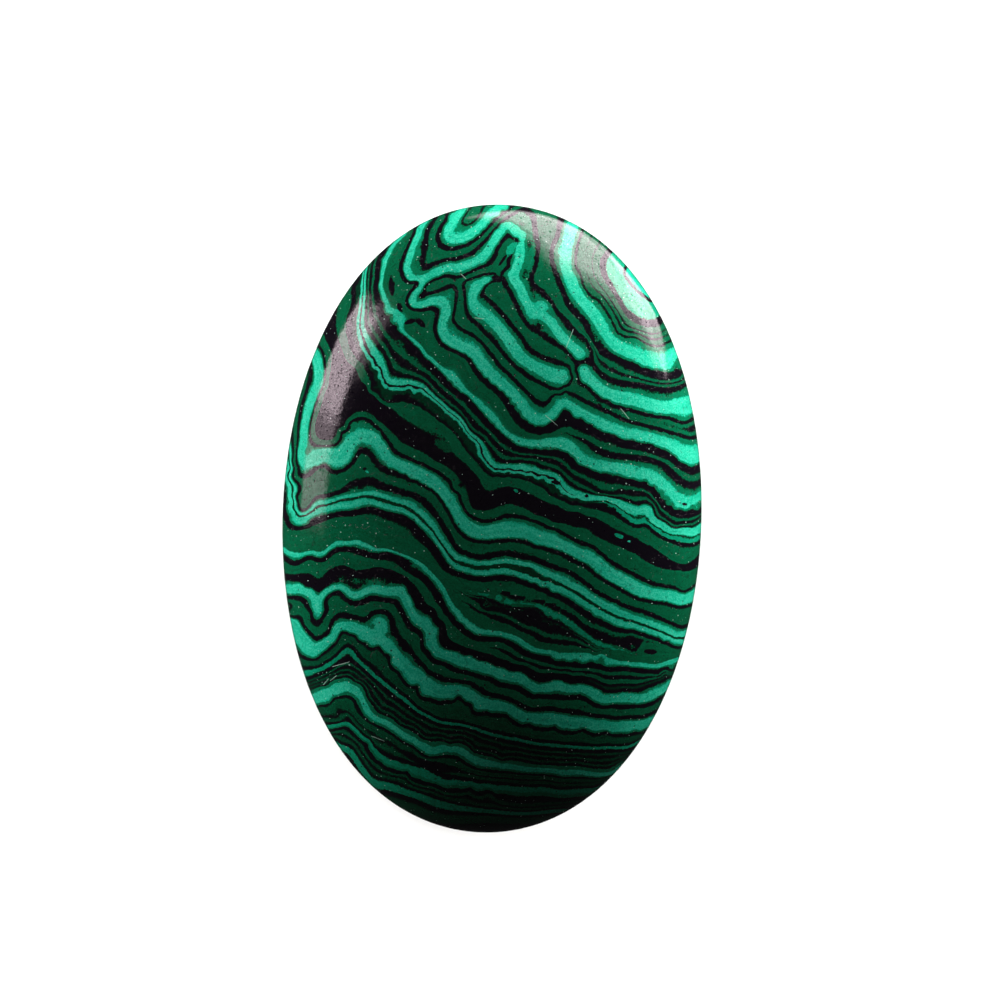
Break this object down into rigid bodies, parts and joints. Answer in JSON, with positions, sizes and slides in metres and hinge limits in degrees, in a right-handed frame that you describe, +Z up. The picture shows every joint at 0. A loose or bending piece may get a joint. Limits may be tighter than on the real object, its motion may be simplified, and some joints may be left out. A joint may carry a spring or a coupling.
{
  "type": "palm stone",
  "caption": "Oval, pillow-shaped polished stone with folded green and black bands, to hold in the palm; it rests on a small flat spot.",
  "frame": {"origin": "middle of the small flat that the stone rests on, which is the bottom centre of its box", "axes": "+Z up out of the broad face that the picture shows, +Y along the length towards the end at the picture's top, +X across the width to the picture's right"},
  "size_m": [0.04, 0.06, 0.02],
  "materials": {
    "malachite": "polished, banded in bright green, dark green and black"
  },
  "bodies": {
    "root": {"palm_stone": "malachite"}
  },
  "joints": []
}
